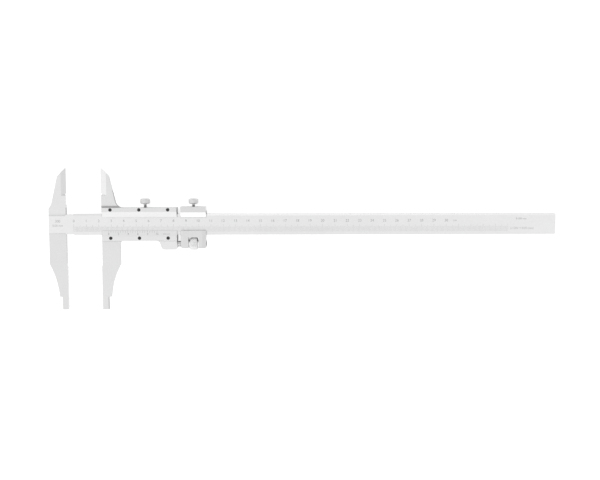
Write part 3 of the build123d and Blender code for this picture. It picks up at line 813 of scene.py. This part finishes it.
def feed_nut():
    """The thumb nut: a straight-knurled rim between two plain hubs, bored right through."""
    low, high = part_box("feed_nut")
    axis = Matrix.Translation(NUT) @ Matrix.Rotation(math.pi / 2, 4, "Y")
    radius = (high.z - low.z) / 2
    half = (high.x - low.x) / 2
    knurl = straight_relief(NUT_TEETH, NUT_KNURL_DEPTH)
    run_out = straight_relief(NUT_TEETH, NUT_KNURL_DEPTH / 2)
    right = [(NUT_HALF_RIM - NUT_CORNER, radius, knurl)]
    right += [(NUT_HALF_RIM - NUT_CORNER / 2, radius - NUT_CORNER_DROP, run_out)]
    right += [(NUT_HALF_RIM, radius - NUT_CORNER, plain), (NUT_HALF_RIM, NUT_HUB_RADIUS, plain)]
    right += [(half - CHAMFER, NUT_HUB_RADIUS, plain), (half, NUT_HUB_RADIUS - CHAMFER, plain)]
    right += [(half, NUT_BORE_RADIUS, plain)]
    left = [(-along, distance, relief) for along, distance, relief in reversed(right)]
    bm = bmesh.new()
    add_turned(bm, axis, left + [(0, radius, knurl)] + right, NUT_TEETH * TOOTH_COLUMNS, closed=True)
    mesh = finish_bmesh(bm, "feed_nut_knurled")
    shade_smooth(mesh, limit=40)
    piece = place_piece(mesh, "feed_nut_knurled", NUT_STEEL, "nut")
    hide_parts("feed_nut")


# ---------------------------------------------------------------- room, light and camera
FLOOR_HALF = 4.0
FLOOR_GREY = 0.5
FLOOR_GLOW = 0.75


def floor():
    """A plain white floor."""
    mesh = bpy.data.meshes.new("floor")
    corners = [(x * FLOOR_HALF, y * FLOOR_HALF, 0) for x, y in ((-1, -1), (1, -1), (1, 1), (-1, 1))]
    mesh.from_pydata(corners, [], [(0, 1, 2, 3)])
    material = bpy.data.materials.new("floor_white")
    material.use_nodes = True
    shader = material.node_tree.nodes["Principled BSDF"]
    shader.inputs["Base Color"].default_value = (FLOOR_GREY, FLOOR_GREY, FLOOR_GREY, 1)
    shader.inputs["Roughness"].default_value = 0.8
    shader.inputs["Specular IOR Level"].default_value = 0.0
    shader.inputs["Emission Color"].default_value = (1, 1, 1, 1)
    shader.inputs["Emission Strength"].default_value = FLOOR_GLOW
    mesh.materials.append(material)
    piece = bpy.data.objects.new("floor", mesh)
    bpy.context.scene.collection.objects.link(piece)


def world(level, swing, azimuth):
    """A soft white dome, brighter towards one side; azimuth 0 is +X and 90 is +Y."""
    made = bpy.data.worlds.new("studio")
    bpy.context.scene.world = made
    made.use_nodes = True
    tree = made.node_tree
    background = tree.nodes["Background"]
    coords = tree.nodes.new("ShaderNodeTexCoord")
    toward = tree.nodes.new("ShaderNodeVectorMath")
    toward.operation = "DOT_PRODUCT"
    angle = math.radians(azimuth)
    toward.inputs[1].default_value = (math.cos(angle), math.sin(angle), 0)
    tree.links.new(coords.outputs["Generated"], toward.inputs[0])
    strength = total(tree, level, product(tree, toward.outputs["Value"], swing))
    tree.links.new(strength, background.inputs["Strength"])
    background.inputs["Color"].default_value = (1, 1, 1, 1)


def softbox(name, azimuth, elevation, distance, size, radiance):
    """A square area light that faces the caliper's middle; azimuth 0 is +X and 90 is +Y."""
    data = bpy.data.lights.new(name, "AREA")
    data.shape = "SQUARE"
    data.size = size
    data.energy = radiance * math.pi * size * size
    light = bpy.data.objects.new(name, data)
    a, e = math.radians(azimuth), math.radians(elevation)
    way = Vector((math.cos(a) * math.cos(e), math.sin(a) * math.cos(e), math.sin(e)))
    light.location = way * distance
    light.rotation_mode = "QUATERNION"
    light.rotation_quaternion = way.to_track_quat("Z", "Y")
    light.visible_camera = False
    bpy.context.scene.collection.objects.link(light)


SENSOR_WIDTH = 36
CAMERA_LENS = 52.96
CAMERA_DISTANCE = 713 * MM
CAMERA_PITCH = 5.6
CAMERA_YAW = -0.76
CAMERA_ROLL = -0.06
AIM_FROM_FACE = 187.65 * MM
AIM_FROM_CENTRE = -12.9 * MM


def camera():
    """Nearly straight down on the scale, leaning a little towards the knife-edge jaws."""
    data = bpy.data.cameras.new("camera")
    data.lens = CAMERA_LENS
    data.sensor_width = SENSOR_WIDTH
    data.clip_start = 10 * MM
    made = bpy.data.objects.new("camera", data)
    aim = Vector((FIXED_FACE_X + AIM_FROM_FACE, CENTRE_Y + AIM_FROM_CENTRE, BEAM_HIGH.z))
    back = Vector((math.tan(math.radians(CAMERA_YAW)), math.tan(math.radians(CAMERA_PITCH)), 1)).normalized()
    right = Vector((0, 1, 0)).cross(back).normalized()
    up = back.cross(right)
    turn = Matrix((right, up, back)).transposed().to_4x4()
    roll = Matrix.Rotation(math.radians(CAMERA_ROLL), 4, "Z")
    made.matrix_world = Matrix.Translation(aim + back * CAMERA_DISTANCE) @ turn @ roll
    bpy.context.scene.collection.objects.link(made)
    bpy.context.scene.camera = made


dress_cad_nodes()
beam_scale()
vernier_scale()
lock_screw("slider")
lock_screw("clamp")
feed_screw()
feed_nut()
floor()
world(level=0.96, swing=0.24, azimuth=-135)
softbox("key", azimuth=-100, elevation=10, distance=1.6, size=0.5, radiance=0.3)
camera()
bpy.context.scene.view_settings.view_transform = "Standard"
